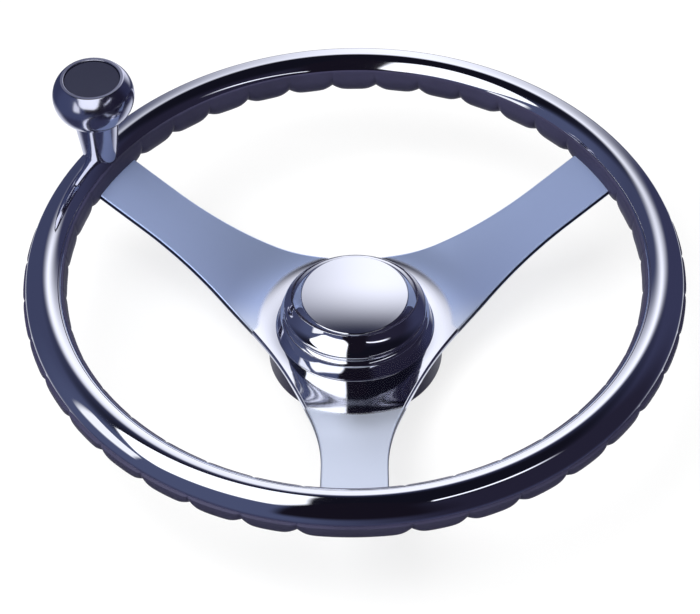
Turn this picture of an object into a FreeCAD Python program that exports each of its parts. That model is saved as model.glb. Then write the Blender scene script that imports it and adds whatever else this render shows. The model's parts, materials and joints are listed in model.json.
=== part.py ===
import FreeCAD, Part
import math
import os
import Sketcher

# Stainless boat steering wheel, 343 mm across, with a finger-grip rim, three pressed spokes,
# a clip-on centre cap and a spinner knob.
# Millimetres. The origin is on the wheel's axis at the hub's back face, and +Z points at the helmsman.

os.makedirs("parts", exist_ok=True)
doc = FreeCAD.newDocument("steering_wheel")
sheet = doc.addObject("Spreadsheet::Sheet", "dims")

dimensions = [
    # rim tube
    ("rimRadius", 161.5),
    ("rimHeight", 65.5),
    ("tubeRadius", 10.0),
    ("tubeWall", 1.5),
    # moulded grip: a thin lip up the inner side, and a round belly below
    ("lipAngle", 42.0),
    ("lipWall", 0.4),
    ("bellyRadius", 11.4),
    ("bellyDrop", 2.6),
    ("cuspWall", 0.5),
    ("notchShoulder", 3.6),
    ("notchShoulderWall", 2.9),
    ("notchHalfWidth", 9.0),
    ("lobeDivisions", 39),
    ("slotGap", 0.3),
    # spoke sheet: the sloping arms aim a little above the tube's centre
    ("spokeCount", 3),
    ("sheetWall", 3.0),
    ("spokeWidth", 33.5),
    ("valleyRadius", 195.0),
    ("plateTop", 22.5),
    ("foldRadius", 60.0),
    ("foldBend", 43.0),
    ("spokeAim", 0.7),
    ("spokeInset", 5.0),
    ("edgeRound", 1.2),
    # raised boss in the middle of the sheet
    ("bossRadius", 41.2),
    ("bossRise", 11.7),
    ("shoulderRound", 3.0),
    ("coveRound", 3.0),
    # hub sleeve, bored for a 3/4 in shaft with a 1 in 12 taper
    ("sleeveRadius", 17.0),
    ("flangeRadius", 33.0),
    ("flangeWall", 6.0),
    ("taperMouth", 9.525),
    ("taperLength", 25.4),
    ("taperRate", 12.0),
    ("stubBore", 8.1),
    ("keyWidth", 4.8),
    ("keyDepth", 2.4),
    # clearances that more than one joint uses
    ("fitGap", 0.1),
    ("threadGap", 0.05),
    ("holeGap", 0.25),
    # screws through the boss into the flange
    ("hubScrewCount", 6),
    ("hubScrewCircle", 25.0),
    ("hubScrewRadius", 2.5),
    ("hubScrewHead", 4.6),
    ("hubScrewHeadHeight", 2.8),
    ("hubScrewCrown", 1.2),
    ("hubScrewDepth", 4.5),
    ("hubScrewKey", 1.5),
    ("hubScrewKeyDepth", 1.6),
    # drum below the sheet, held to the flange by three long screws
    ("drumRadius", 46.9),
    ("drumWall", 2.5),
    ("drumFloor", 3.0),
    ("drumRound", 1.2),
    ("pillarRadius", 5.0),
    ("drumScrewCount", 3),
    ("drumScrewRadius", 2.0),
    ("drumScrewHead", 3.6),
    ("drumScrewHeadHeight", 2.4),
    ("drumScrewSink", 3.6),
    ("drumScrewDepth", 4.0),
    ("drumScrewKey", 1.25),
    ("drumScrewKeyDepth", 1.4),
    # clip-on cap with a slightly domed top and a rolled edge, and the spring ring that holds it
    ("capTopRadius", 28.8),
    ("capHeight", 11.6),
    ("capEdgeRound", 0.8),
    ("capDome", 0.7),
    ("capWall", 1.2),
    ("capFootRadius", 38.3),
    ("capBead", 1.6),
    ("capFlare", 26.0),
    ("ringWall", 0.8),
    ("ringBore", 19.2),
    ("ringInset", 3.5),
    ("ringHook", 0.4),
    ("ringSlotWidth", 3.0),
    ("ringSlotCount", 6),
    # knob's neck on the rim
    ("knobAngle", 149.0),
    ("neckFoot", 9.7),
    ("neckTopRadius", 12.3),
    ("neckHeight", 22.8),
    ("neckSaddle", 7.5),
    # bolt from inside the tube into the neck
    ("boltRadius", 3.98),
    ("accessGap", 0.7),
    ("saddleRadius", 6.8),
    ("saddleWall", 4.6),
    ("studHead", 6.5),
    ("studHeadHeight", 3.4),
    ("studGrip", 10.5),
    ("studKey", 2.5),
    ("studKeyDepth", 2.2),
    ("plugDepth", 6.5),
    ("plugSink", 0.5),
    # axle and bushes
    ("spacerRadius", 5.5),
    ("spacerLength", 15.0),
    ("axleGrip", 9.3),
    ("washerRadius", 9.0),
    ("washerWall", 1.6),
    ("axleHead", 7.0),
    ("axleHeadHeight", 4.2),
    ("axleCrown", 2.0),
    ("axleKey", 2.5),
    ("axleKeyDepth", 2.4),
    ("runningGap", 0.05),
    ("endGap", 0.1),
    ("bushWall", 1.5),
    ("bushFlange", 8.3),
    ("bushLength", 5.2),
    ("upperFlangeWall", 1.2),
    # knob: a squashed ball of sheet over a moulded core
    ("knobGap", 0.6),
    ("ballBelow", 14.9),
    ("ballAbove", 11.7),
    ("ballOffset", 5.4),
    ("ballArc", 16.5),
    ("ballEdge", 1.0),
    ("shellWall", 1.6),
    ("insertRadius", 14.9),
    ("insertWall", 1.9),
    ("insertSink", 0.8),
    ("wellGap", 0.8),
]
for row, (alias, value) in enumerate(dimensions, start=1):
    sheet.set("A%d" % row, alias)
    sheet.set("B%d" % row, str(value))
    sheet.setAlias("B%d" % row, alias)
doc.recompute()

aliases = [alias for alias, value in dimensions]


def formula(text):
    """Put the sheet's name before each alias, so that any object can use the formula."""
    words = []
    word = ""
    for letter in text + " ":
        if letter.isalnum() or letter == "_":
            word += letter
            continue
        words.append("dims." + word if word in aliases else word)
        words.append(letter)
        word = ""
    return "".join(words).strip()


def number(text):
    return float(sheet.evalExpression(text))


def bind(target, prop, text):
    target.setExpression(prop, formula(text))


# Sketch helpers: an outline is a list of corners, each a formula in the sheet's names.

def newBody(label):
    body = doc.addObject("PartDesign::Body", label)
    body.Label = label
    return body


def originPlane(body, role):
    for feature in body.Origin.OriginFeatures:
        if feature.Role == role:
            return feature
    raise ValueError(role)


def newSketch(body, name, plane):
    sketch = body.newObject("Sketcher::SketchObject", name)
    sketch.AttachmentSupport = [(originPlane(body, plane), "")]
    sketch.MapMode = "FlatFace"
    return sketch


def pin(sketch, geometry, vertex, x, y):
    """Hold one vertex at the place that two formulas give."""
    for kind, text, axis in (("DistanceX", x, -2), ("DistanceY", y, -1)):
        if text == "0":
            sketch.addConstraint(Sketcher.Constraint("PointOnObject", geometry, vertex, axis))
            continue
        index = sketch.addConstraint(Sketcher.Constraint(kind, -1, 1, geometry, vertex, number(text)))
        bind(sketch, "Constraints[%d]" % index, text)


def arcCentre(start, end, radius, turn, major):
    middle = (start + end) * 0.5
    half = (end - start) * 0.5
    rise = math.sqrt(max(radius * radius - half.Length * half.Length, 0.0))
    left = FreeCAD.Vector(-half.y, half.x, 0).normalize()
    side = -turn if major else turn
    return middle + left * (rise * side)


def outline(sketch, corners):
    """Draw a closed outline. A corner is (x, y) after a straight edge, or
    (x, y, radius, turn, major) after an arc, with turn 1 counter-clockwise."""
    places = [FreeCAD.Vector(number(corner[0]), number(corner[1]), 0) for corner in corners]
    ends = []
    for index, corner in enumerate(corners):
        start = places[index - 1]
        end = places[index]
        if len(corner) == 2:
            geometry = sketch.addGeometry(Part.LineSegment(start, end), False)
            ends.append((geometry, 1, 2))
            continue
        radius, turn, major = corner[2:]
        centre = arcCentre(start, end, number(radius), turn, major)
        first, last = (start, end) if turn > 0 else (end, start)
        angles = [math.atan2(p.y - centre.y, p.x - centre.x) for p in (first, last)]
        circle = Part.Circle(centre, FreeCAD.Vector(0, 0, 1), number(radius))
        geometry = sketch.addGeometry(Part.ArcOfCircle(circle, angles[0], angles[1]), False)
        ends.append((geometry, 1, 2) if turn > 0 else (geometry, 2, 1))
        constraint = sketch.addConstraint(Sketcher.Constraint("Radius", geometry, number(radius)))
        bind(sketch, "Constraints[%d]" % constraint, radius)
    for index, (geometry, start, end) in enumerate(ends):
        before = ends[index - 1]
        sketch.addConstraint(Sketcher.Constraint("Coincident", before[0], before[2], geometry, start))
        pin(sketch, geometry, end, corners[index][0], corners[index][1])


def circle(sketch, x, y, radius):
    centre = FreeCAD.Vector(number(x), number(y), 0)
    geometry = sketch.addGeometry(Part.Circle(centre, FreeCAD.Vector(0, 0, 1), number(radius)), False)
    constraint = sketch.addConstraint(Sketcher.Constraint("Radius", geometry, number(radius)))
    bind(sketch, "Constraints[%d]" % constraint, radius)
    pin(sketch, geometry, 3, x, y)


def hexagon(sketch, x, y, across):
    """Regular hexagon by its half width across the flats."""
    points = []
    for corner in range(6):
        angle = 60 * corner
        reach = "%s / cos(30)" % across
        points.append(("%s + %s * cos(%d)" % (x, reach, angle), "%s + %s * sin(%d)" % (y, reach, angle)))
    outline(sketch, points)


def turned(body, name, corners, kind="PartDesign::Revolution"):
    """Turn an outline of radii and heights about the body's Z axis."""
    sketch = newSketch(body, name + "_profile", "XZ_Plane")
    outline(sketch, corners)
    feature = body.newObject(kind, name)
    feature.Profile = sketch
    feature.ReferenceAxis = (sketch, ["V_Axis"])
    feature.Angle = 360
    sketch.Visibility = False
    return feature


def checked(body, feature):
    """A cut that points away from the solid removes nothing and shows no error."""
    doc.recompute()
    if not feature.Shape.Volume < feature.BaseFeature.Shape.Volume - 0.01:
        raise RuntimeError("%s cuts nothing" % feature.Name)
    return feature


def groove(body, name, draw, plane="XZ_Plane", axis="V_Axis", angle=360):
    """Cut by an outline turned about one of its own sketch's axes."""
    sketch = newSketch(body, name + "_profile", plane)
    draw(sketch)
    feature = body.newObject("PartDesign::Groove", name)
    feature.Profile = sketch
    feature.ReferenceAxis = (sketch, [axis])
    feature.Angle = angle
    return feature


def pocket(body, name, draw, low, high):
    """Cut upwards between two heights by the outline that draw makes."""
    sketch = newSketch(body, name + "_outline", "XY_Plane")
    bind(sketch, "AttachmentOffset.Base.z", low)
    draw(sketch)
    feature = body.newObject("PartDesign::Pocket", name)
    feature.Profile = sketch
    feature.Reversed = True
    bind(feature, "Length", "%s - (%s)" % (high, low))
    sketch.Visibility = False
    return checked(body, feature)


def around(body, name, features, count):
    """Repeat features round the body's Z axis."""
    pattern = body.newObject("PartDesign::PolarPattern", name)
    pattern.Originals = features
    pattern.Axis = (originPlane(body, "Z_Axis"), [""])
    pattern.Angle = 360
    bind(pattern, "Occurrences", count)
    body.Tip = pattern
    doc.recompute()
    return pattern


def onKnobAxis(target):
    """Stand a piece on the knob's axis, with its own +X pointing away from the wheel's axis."""
    bind(target, "Placement.Base.x", "rimRadius * cos(knobAngle)")
    bind(target, "Placement.Base.y", "rimRadius * sin(knobAngle)")
    bind(target, "Placement.Rotation.Angle", "knobAngle")
    return target


def knobPiece(name, corners):
    """A turned piece that stands on the knob's axis."""
    body = newBody(name)
    turned(body, name + "_turned", corners)
    return onKnobAxis(body)


def tube(inner, outer, low, high):
    """Corners of a plain ring's section."""
    return [(inner, low), (outer, low), (outer, high), (inner, high)]


def repeated(name, item, count, circle, first):
    """Group copies of one item, evenly spaced on a circle about the wheel's axis."""
    copies = []
    for index in range(int(number(count))):
        angle = "(%s + %d * 360 / %s)" % (first, index, count)
        copy = doc.addObject("Part::Compound", "%s_%d" % (name, index + 1))
        copy.Links = [item]
        bind(copy, "Placement.Base.x", "%s * cos%s" % (circle, angle))
        bind(copy, "Placement.Base.y", "%s * sin%s" % (circle, angle))
        copies.append(copy)
    group = doc.addObject("Part::Compound", name)
    group.Links = copies
    group.Label = name
    return group


# Heights and places that several pieces share.

plateBottom = "(plateTop - sheetWall)"
bossTop = "(plateTop + bossRise)"
bossBottom = "(%s - sheetWall)" % bossTop
flangeBottom = "(%s - flangeWall)" % bossBottom
ringTop = "(%s + ringWall)" % bossTop
drumScrewFirst = "(360 / hubScrewCount / 2)"
accessRadius = "(saddleRadius + accessGap)"
tubeBore = "(tubeRadius - tubeWall)"
tubeTop = "(rimHeight + tubeRadius)"
neckTop = "(%s + neckHeight)" % tubeTop
neckLow = "(%s - neckSaddle)" % tubeTop
neckFlare = "((neckTopRadius - neckFoot) / neckHeight)"
neckLowRadius = "(neckFoot - %s * neckSaddle)" % neckFlare
spacerTop = "(%s + spacerLength)" % neckTop
boltHole = "(boltRadius + holeGap)"
boltThread = "(boltRadius + threadGap)"

# The arm's slope, as sine, cosine and tangent, from the fold up to the rim.
spokeRise = "(rimHeight + spokeAim - plateTop)"
spokeRun = "(rimRadius - foldRadius)"
spokeSpan = "sqrt(%s^2 + %s^2)" % (spokeRise, spokeRun)
slopeSin = "(%s / %s)" % (spokeRise, spokeSpan)
slopeCos = "(%s / %s)" % (spokeRun, spokeSpan)
slopeTan = "(%s / %s)" % (spokeRise, spokeRun)
halfTan = "(%s / (1 + %s))" % (slopeSin, slopeCos)
spokeEnd = "(rimRadius - spokeInset)"


def armHeight(radius):
    """Height of the arm's top face at a radius past the fold."""
    return "(plateTop + (%s - foldRadius) * %s)" % (radius, slopeTan)


# Rim tube: a ring bent from round tube, with a hole above for the neck's bolt and a wider one below.

def cylinder(name, radius, low, high):
    solid = doc.addObject("Part::Cylinder", name)
    bind(solid, "Radius", radius)
    bind(solid, "Height", "%s - (%s)" % (high, low))
    bind(solid, "Placement.Base.z", low)
    return solid


def torus(name, radius):
    ring = doc.addObject("Part::Torus", name)
    bind(ring, "Radius1", "rimRadius")
    bind(ring, "Radius2", radius)
    bind(ring, "Placement.Base.z", "rimHeight")
    return ring


def boolean(kind, name, base, tool):
    result = doc.addObject(kind, name)
    result.Base = base
    result.Tool = tool
    result.Label = name
    return result


def buildRimTube():
    outside = torus("tube_outside", "tubeRadius")
    inside = torus("tube_inside", tubeBore)
    low = "rimHeight - tubeRadius - tubeWall"
    high = "rimHeight + tubeRadius + tubeWall"
    stud = onKnobAxis(cylinder("tube_stud_hole", boltHole, "rimHeight", high))
    access = onKnobAxis(cylinder("tube_access_hole", accessRadius, low, "rimHeight"))
    hollow = boolean("Part::Cut", "tube_hollow", outside, inside)
    drilled = boolean("Part::Cut", "tube_drilled", hollow, stud)
    return boolean("Part::Cut", "rim_tube", drilled, access)


# Grip: a C section turned round the wheel, notched between the fingers, with a slot for each arm.

def buildRimGrip():
    body = newBody("rim_grip")
    lip = "(tubeRadius + lipWall)"
    join = "((bellyRadius^2 - %s^2 - bellyDrop^2) / (2 * bellyDrop))" % lip
    turned(body, "grip_section", [
        ("rimRadius - tubeRadius * cos(lipAngle)", "rimHeight + tubeRadius * sin(lipAngle)",
         "tubeRadius", -1, True),
        ("rimRadius - %s * cos(lipAngle)" % lip, "rimHeight + %s * sin(lipAngle)" % lip),
        ("rimRadius - sqrt(%s^2 - %s^2)" % (lip, join), "rimHeight + %s" % join, lip, 1, False),
        ("rimRadius + sqrt(bellyRadius^2 - bellyDrop^2)", "rimHeight", "bellyRadius", 1, True),
        ("rimRadius + tubeRadius", "rimHeight"),
    ])

    def armSlot(sketch):
        inner = "(rimRadius - bellyRadius - bellyDrop)"
        above = "(slotGap / %s)" % slopeCos
        below = "((sheetWall + slotGap) / %s)" % slopeCos
        outline(sketch, [
            ("-" + inner, "%s - %s" % (armHeight(inner), below)),
            ("-" + inner, "%s + %s" % (armHeight(inner), above)),
            ("-" + spokeEnd, "%s + %s" % (armHeight(spokeEnd), above)),
            ("-" + spokeEnd, "%s - %s" % (armHeight(spokeEnd), below)),
        ])

    slot = groove(body, "arm_slot", armSlot, plane="YZ_Plane")
    slot.Midplane = True
    bind(slot, "Angle", "2 * asin((spokeWidth / 2 + slotGap) / (rimRadius - bellyRadius - bellyDrop))")
    checked(body, slot)
    around(body, "arm_slots", [slot], "spokeCount")
    pocket(body, "access_hole", lambda sketch: circle(
        sketch, "rimRadius * cos(knobAngle)", "rimRadius * sin(knobAngle)", accessRadius),
        "0", "rimHeight")
    pocket(body, "neck_seat", lambda sketch: circle(
        sketch, "rimRadius * cos(knobAngle)", "rimRadius * sin(knobAngle)", "neckFoot + fitGap"),
        neckLow + " - fitGap", tubeTop)

    # A notch is turned about the tube's own tangent line. The first lies next to the spoke at
    # 150 degrees, the others follow towards 30 degrees, and none lies over a spoke.
    cusp = "(tubeRadius + cuspWall)"
    shoulder = "(tubeRadius + notchShoulderWall)"
    crest = "(bellyRadius + bellyDrop + cuspWall)"
    firstNotch = "(90 + 180 / spokeCount - 360 / lobeDivisions)"

    def notchSides(sketch):
        # Any angle but zero gives the rotation its axis. The real angle is bound below.
        tilt = FreeCAD.Rotation(FreeCAD.Vector(0, 1, 0), 10)
        sketch.AttachmentOffset = FreeCAD.Placement(FreeCAD.Vector(0, 0, 0), tilt)
        bind(sketch, "AttachmentOffset.Base.x", "rimRadius * cos%s" % firstNotch)
        bind(sketch, "AttachmentOffset.Base.y", "rimHeight")
        bind(sketch, "AttachmentOffset.Base.z", "-rimRadius * sin%s" % firstNotch)
        bind(sketch, "AttachmentOffset.Rotation.Angle", "%s - 90" % firstNotch)
        outline(sketch, [
            ("-notchHalfWidth", "%s + bellyRadius" % crest),
            ("-notchHalfWidth", crest),
            ("-notchShoulder", shoulder),
            ("0", cusp),
            ("notchShoulder", shoulder),
            ("notchHalfWidth", crest),
            ("notchHalfWidth", "%s + bellyRadius" % crest),
        ])

    notch = checked(body, groove(body, "notch", notchSides, axis="H_Axis"))
    inSector = "(lobeDivisions / spokeCount - 1)"
    row = body.newObject("PartDesign::PolarPattern", "notches_between_two_arms")
    row.Axis = (originPlane(body, "Z_Axis"), [""])
    row.Reversed = True
    bind(row, "Occurrences", inSector)
    bind(row, "Angle", "(%s - 1) * 360 / lobeDivisions" % inSector)
    sectors = body.newObject("PartDesign::PolarPattern", "notches_all_round")
    sectors.Axis = (originPlane(body, "Z_Axis"), [""])
    sectors.Angle = 360
    bind(sectors, "Occurrences", "spokeCount")
    notches = body.newObject("PartDesign::MultiTransform", "notches")
    notches.Originals = [notch]
    notches.Transformations = [row, sectors]
    body.Tip = notches
    return body


# Spoke sheet: one pressed disc with a raised boss, a circular fold and three valleys cut out.

def buildSpokeSpider():
    body = newBody("spoke_spider")
    bendIn = "(foldRadius - foldBend * %s)" % halfTan
    bendOut = "(foldRadius + foldBend * %s * %s)" % (halfTan, slopeCos)
    bendTop = "(plateTop + foldBend * %s * %s)" % (halfTan, slopeSin)
    endTop = armHeight(spokeEnd)
    across = "sheetWall * %s" % slopeSin
    under = "sheetWall * %s" % slopeCos
    turned(body, "sheet_section", [
        ("sleeveRadius + fitGap", bossTop),
        ("bossRadius - shoulderRound", bossTop),
        ("bossRadius", bossTop + " - shoulderRound", "shoulderRound", -1, False),
        ("bossRadius", "plateTop + coveRound"),
        ("bossRadius + coveRound", "plateTop", "coveRound", 1, False),
        (bendIn, "plateTop"),
        (bendOut, bendTop, "foldBend", 1, False),
        (spokeEnd, endTop),
        ("%s + %s" % (spokeEnd, across), "%s - %s" % (endTop, under)),
        ("%s + %s" % (bendOut, across), "%s - %s" % (bendTop, under)),
        (bendIn, plateBottom, "foldBend + sheetWall", -1, False),
        ("bossRadius + coveRound", plateBottom),
        ("bossRadius - sheetWall", "plateTop + coveRound", "coveRound + sheetWall", -1, False),
        ("bossRadius - sheetWall", bossBottom),
        ("sleeveRadius + fitGap", bossBottom),
    ])

    half = "(180 / spokeCount)"
    reach = "(rimRadius + tubeRadius)"
    centre = "((valleyRadius + spokeWidth / 2) / sin%s)" % half
    tangentX = "(valleyRadius * cos%s)" % half
    tangentY = "(%s - valleyRadius * sin%s)" % (centre, half)
    edgeX = "(%s * sin%s - spokeWidth / 2 * cos%s)" % (reach, half, half)
    edgeY = "(%s * cos%s + spokeWidth / 2 * sin%s)" % (reach, half, half)

    def window(sketch):
        outline(sketch, [
            ("-" + edgeX, edgeY),
            ("-" + tangentX, tangentY),
            (tangentX, tangentY, "valleyRadius", 1, False),
            (edgeX, edgeY),
            (edgeX, reach + " + tubeRadius"),
            ("-" + edgeX, reach + " + tubeRadius"),
        ])

    valley = pocket(body, "valley", window, "0", tubeTop)
    around(body, "valleys", [valley], "spokeCount")
    roundTopEdges(body)
    checked(body, groove(body, "rim_seat", lambda sketch: circle(
        sketch, "rimRadius", "rimHeight", "tubeRadius")))
    hole = pocket(body, "screw_hole", lambda sketch: circle(
        sketch, "hubScrewCircle", "0", "hubScrewRadius + holeGap"), "0", ringTop)
    around(body, "screw_holes", [hole], "hubScrewCount")
    return body


def roundTopEdges(body):
    """Round the valleys' upper edges, which run along the top face from arm to arm."""
    valleys = body.Tip
    tops = []
    inside = number("bossRadius + coveRound")
    fold = [number("foldRadius - foldBend * %s" % halfTan),
            number("foldRadius + foldBend * %s * %s" % (halfTan, slopeCos))]
    nearTop = number("sheetWall / 10")
    for index, edge in enumerate(valleys.Shape.Edges, start=1):
        first, last = edge.ParameterRange
        point = edge.valueAt((first + last) / 2)
        start = edge.valueAt(first)
        radius = math.hypot(point.x, point.y)
        turnsBack = abs(math.hypot(start.x, start.y) - radius) < 0.01
        if radius < inside or turnsBack:
            continue
        height = number("plateTop")
        if radius > fold[1]:
            height = number(armHeight(repr(radius)))
        elif radius > fold[0]:
            run = radius - fold[0]
            height += number("foldBend") - math.sqrt(number("foldBend") ** 2 - run * run)
        if abs(point.z - height) < nearTop and radius < number(spokeEnd) - nearTop:
            tops.append("Edge%d" % index)
    fillet = body.newObject("PartDesign::Fillet", "sheet_edges")
    fillet.Base = (valleys, tops)
    bind(fillet, "Radius", "edgeRound")
    body.Tip = fillet
    doc.recompute()
    return fillet


# Hub sleeve, its screws and the spring ring that they also hold.

def buildHubSleeve():
    body = newBody("hub_sleeve")
    turned(body, "sleeve_section", [
        ("taperMouth", "0"),
        ("sleeveRadius", "0"),
        ("sleeveRadius", flangeBottom),
        ("flangeRadius", flangeBottom),
        ("flangeRadius", bossBottom),
        ("sleeveRadius", bossBottom),
        ("sleeveRadius", bossTop),
        ("stubBore", bossTop),
        ("stubBore", "taperLength"),
        ("taperMouth - taperLength / taperRate / 2", "taperLength"),
    ])
    doc.recompute()

    def keyway(sketch):
        outline(sketch, [
            ("-keyWidth / 2", "0"),
            ("keyWidth / 2", "0"),
            ("keyWidth / 2", "taperMouth + keyDepth"),
            ("-keyWidth / 2", "taperMouth + keyDepth"),
        ])

    pocket(body, "keyway", keyway, "0", ringTop)
    screwHole = pocket(body, "screw_hole", lambda sketch: circle(
        sketch, "hubScrewCircle", "0", "hubScrewRadius + threadGap"), "0", ringTop)
    around(body, "screw_holes", [screwHole], "hubScrewCount")
    drumHole = pocket(body, "drum_screw_hole", lambda sketch: circle(
        sketch, "hubScrewCircle * cos" + drumScrewFirst, "hubScrewCircle * sin" + drumScrewFirst,
        "drumScrewRadius + threadGap"), "0", ringTop)
    around(body, "drum_screw_holes", [drumHole], "drumScrewCount")
    return body


def buildHubScrews():
    screw = newBody("hub_screw")
    headTop = "(%s + hubScrewHeadHeight)" % ringTop
    turned(screw, "screw_turned", [
        ("0", bossBottom + " - hubScrewDepth"),
        ("hubScrewRadius", bossBottom + " - hubScrewDepth"),
        ("hubScrewRadius", ringTop),
        ("hubScrewHead", ringTop),
        ("hubScrewHead", headTop + " - hubScrewCrown"),
        ("hubScrewHead - hubScrewCrown", headTop),
        ("0", headTop),
    ])
    doc.recompute()
    pocket(screw, "screw_socket", lambda sketch: hexagon(sketch, "0", "0", "hubScrewKey"),
           headTop + " - hubScrewKeyDepth", headTop + " + hubScrewKeyDepth")
    return repeated("hub_screws", screw, "hubScrewCount", "hubScrewCircle", "0")


capBeadX = "(capFootRadius - capBead)"
capBeadZ = "(%s + capBead)" % bossTop


def buildCapRetainer():
    body = newBody("cap_retainer")
    wall = "(%s - ringInset)" % capBeadX
    hook = "(%s - capBead + ringHook)" % capBeadX
    hookLow = "(%s + endGap)" % capBeadZ
    hookTop = "(%s + ringWall)" % hookLow
    turned(body, "ring_section", [
        ("ringBore", bossTop),
        (wall, bossTop),
        (wall, hookLow),
        (hook, hookLow),
        (hook, hookTop),
        (wall + " - ringWall", hookTop),
        (wall + " - ringWall", ringTop),
        ("ringBore", ringTop),
    ])
    doc.recompute()

    def springSlot(sketch):
        outline(sketch, [
            (wall + " - 2 * ringWall", "-ringSlotWidth / 2"),
            (hook + " + ringWall", "-ringSlotWidth / 2"),
            (hook + " + ringWall", "ringSlotWidth / 2"),
            (wall + " - 2 * ringWall", "ringSlotWidth / 2"),
        ])

    slot = pocket(body, "spring_slot", springSlot, "0", hookTop + " + ringWall")
    around(body, "spring_slots", [slot], "ringSlotCount")
    hole = pocket(body, "screw_hole", lambda sketch: circle(
        sketch, "hubScrewCircle", "0", "hubScrewRadius + holeGap"), "0", hookTop)
    around(body, "screw_holes", [hole], "hubScrewCount")
    return body


# Centre cap: a faintly domed top, a hollow flare whose arc runs into the rolled edge, and one wall throughout.

def buildCentreCap():
    body = newBody("centre_cap")
    crown = "(%s + capHeight)" % bossTop
    top = "(%s - capDome)" % crown
    flat = "(capTopRadius - capEdgeRound)"
    domeArc = "((%s^2 + capDome^2) / (2 * capDome))" % flat
    innerArc = "(%s - capWall)" % domeArc
    dx = "(capTopRadius - %s)" % capBeadX
    dz = "(%s - capEdgeRound - %s)" % (top, capBeadZ)
    apart = "sqrt(%s^2 + %s^2)" % (dx, dz)
    reach = "(capFlare + capBead)"
    along = "((%s^2 - capFlare^2 + %s^2) / (2 * %s))" % (reach, apart, apart)
    aside = "sqrt(%s^2 - %s^2)" % (reach, along)
    centreX = "(%s + (%s * %s + %s * %s) / %s)" % (capBeadX, along, dx, aside, dz, apart)
    centreZ = "(%s + (%s * %s - %s * %s) / %s)" % (capBeadZ, along, dz, aside, dx, apart)

    def onBead(radius):
        return ("%s + %s * (%s - %s) / %s" % (capBeadX, radius, centreX, capBeadX, reach),
                "%s + %s * (%s - %s) / %s" % (capBeadZ, radius, centreZ, capBeadZ, reach))

    inner = "(capFlare + capWall) / capFlare"
    turned(body, "cap_section", [
        ("0", crown),
        (flat, top, domeArc, -1, False),
        ("capTopRadius", top + " - capEdgeRound", "capEdgeRound", -1, False),
        onBead("capBead") + ("capFlare", 1, False),
        (capBeadX + " - capBead", capBeadZ, "capBead", -1, True),
        onBead("(capBead - capWall)"),
        ("%s + (capTopRadius - %s) * %s" % (centreX, centreX, inner),
         "%s + (%s - capEdgeRound - %s) * %s" % (centreZ, top, centreZ, inner),
         "capFlare + capWall", -1, False),
        ("capTopRadius - capWall", "%s - %s + sqrt(%s^2 - (capTopRadius - capWall)^2)"
         % (crown, domeArc, innerArc)),
        ("0", crown + " - capWall", innerArc, 1, False),
    ])
    return body


# Drum below the sheet, with three pillars up to the flange and a sunk screw in each.

def buildHubShroud():
    body = newBody("hub_shroud")
    turned(body, "drum_section", [
        ("sleeveRadius + fitGap", "0"),
        ("drumRadius - drumRound", "0"),
        ("drumRadius", "drumRound", "drumRound", 1, False),
        ("drumRadius", plateBottom),
        ("drumRadius - drumWall", plateBottom),
        ("drumRadius - drumWall", "drumFloor"),
        ("sleeveRadius + fitGap", "drumFloor"),
    ])
    place = ("hubScrewCircle * cos" + drumScrewFirst, "hubScrewCircle * sin" + drumScrewFirst)
    sketch = newSketch(body, "pillar_outline", "XY_Plane")
    bind(sketch, "AttachmentOffset.Base.z", "drumFloor / 2")
    circle(sketch, place[0], place[1], "pillarRadius")
    pillar = body.newObject("PartDesign::Pad", "pillar")
    pillar.Profile = sketch
    bind(pillar, "Length", flangeBottom + " - drumFloor / 2")
    doc.recompute()
    around(body, "pillars", [pillar], "drumScrewCount")
    hole = pocket(body, "screw_hole", lambda sketch: circle(
        sketch, place[0], place[1], "drumScrewRadius + holeGap"), "0", bossBottom)
    around(body, "screw_holes", [hole], "drumScrewCount")
    sink = pocket(body, "screw_sink", lambda sketch: circle(
        sketch, place[0], place[1], "drumScrewHead + holeGap"), "0", "drumScrewSink")
    around(body, "screw_sinks", [sink], "drumScrewCount")
    return body


def buildShroudScrews():
    screw = newBody("shroud_screw")
    headLow = "(drumScrewSink - drumScrewHeadHeight)"
    end = flangeBottom + " + drumScrewDepth"
    turned(screw, "screw_turned", [
        ("0", headLow),
        ("drumScrewHead", headLow),
        ("drumScrewHead", "drumScrewSink"),
        ("drumScrewRadius", "drumScrewSink"),
        ("drumScrewRadius", end),
        ("0", end),
    ])
    doc.recompute()
    pocket(screw, "screw_socket", lambda sketch: hexagon(sketch, "0", "0", "drumScrewKey"),
           headLow + " - drumScrewKeyDepth", headLow + " + drumScrewKeyDepth")
    return repeated("shroud_screws", screw, "drumScrewCount", "hubScrewCircle", drumScrewFirst)


# Neck of the knob, the bolt that holds it from inside the tube, and the plug in the bolt's way in.

def buildKnobPedestal():
    cone = knobPiece("neck_cone", [
        (boltThread, neckLow),
        (neckLowRadius, neckLow),
        ("neckTopRadius", neckTop),
        (boltThread, neckTop),
    ])
    return boolean("Part::Cut", "knob_pedestal", cone, torus("neck_seat", "tubeRadius"))


saddleLow = "(rimHeight + %s - saddleWall)" % tubeBore


def buildSaddleWasher():
    blank = knobPiece("saddle_blank", tube(boltHole, "saddleRadius", saddleLow, tubeTop))
    return boolean("Part::Common", "saddle_washer", blank, torus("saddle_seat", tubeBore))


def buildPedestalBolt():
    headTop = "(%s - endGap)" % saddleLow
    headLow = "(%s - studHeadHeight)" % headTop
    end = tubeTop + " + studGrip"
    bolt = knobPiece("pedestal_bolt", [
        ("0", headLow),
        ("studHead", headLow),
        ("studHead", headTop),
        ("boltRadius", headTop),
        ("boltRadius", end),
        ("0", end),
    ])
    doc.recompute()
    pocket(bolt, "bolt_socket", lambda sketch: hexagon(sketch, "0", "0", "studKey"),
           headLow + " - studKeyDepth", headLow + " + studKeyDepth")
    return bolt


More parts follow.
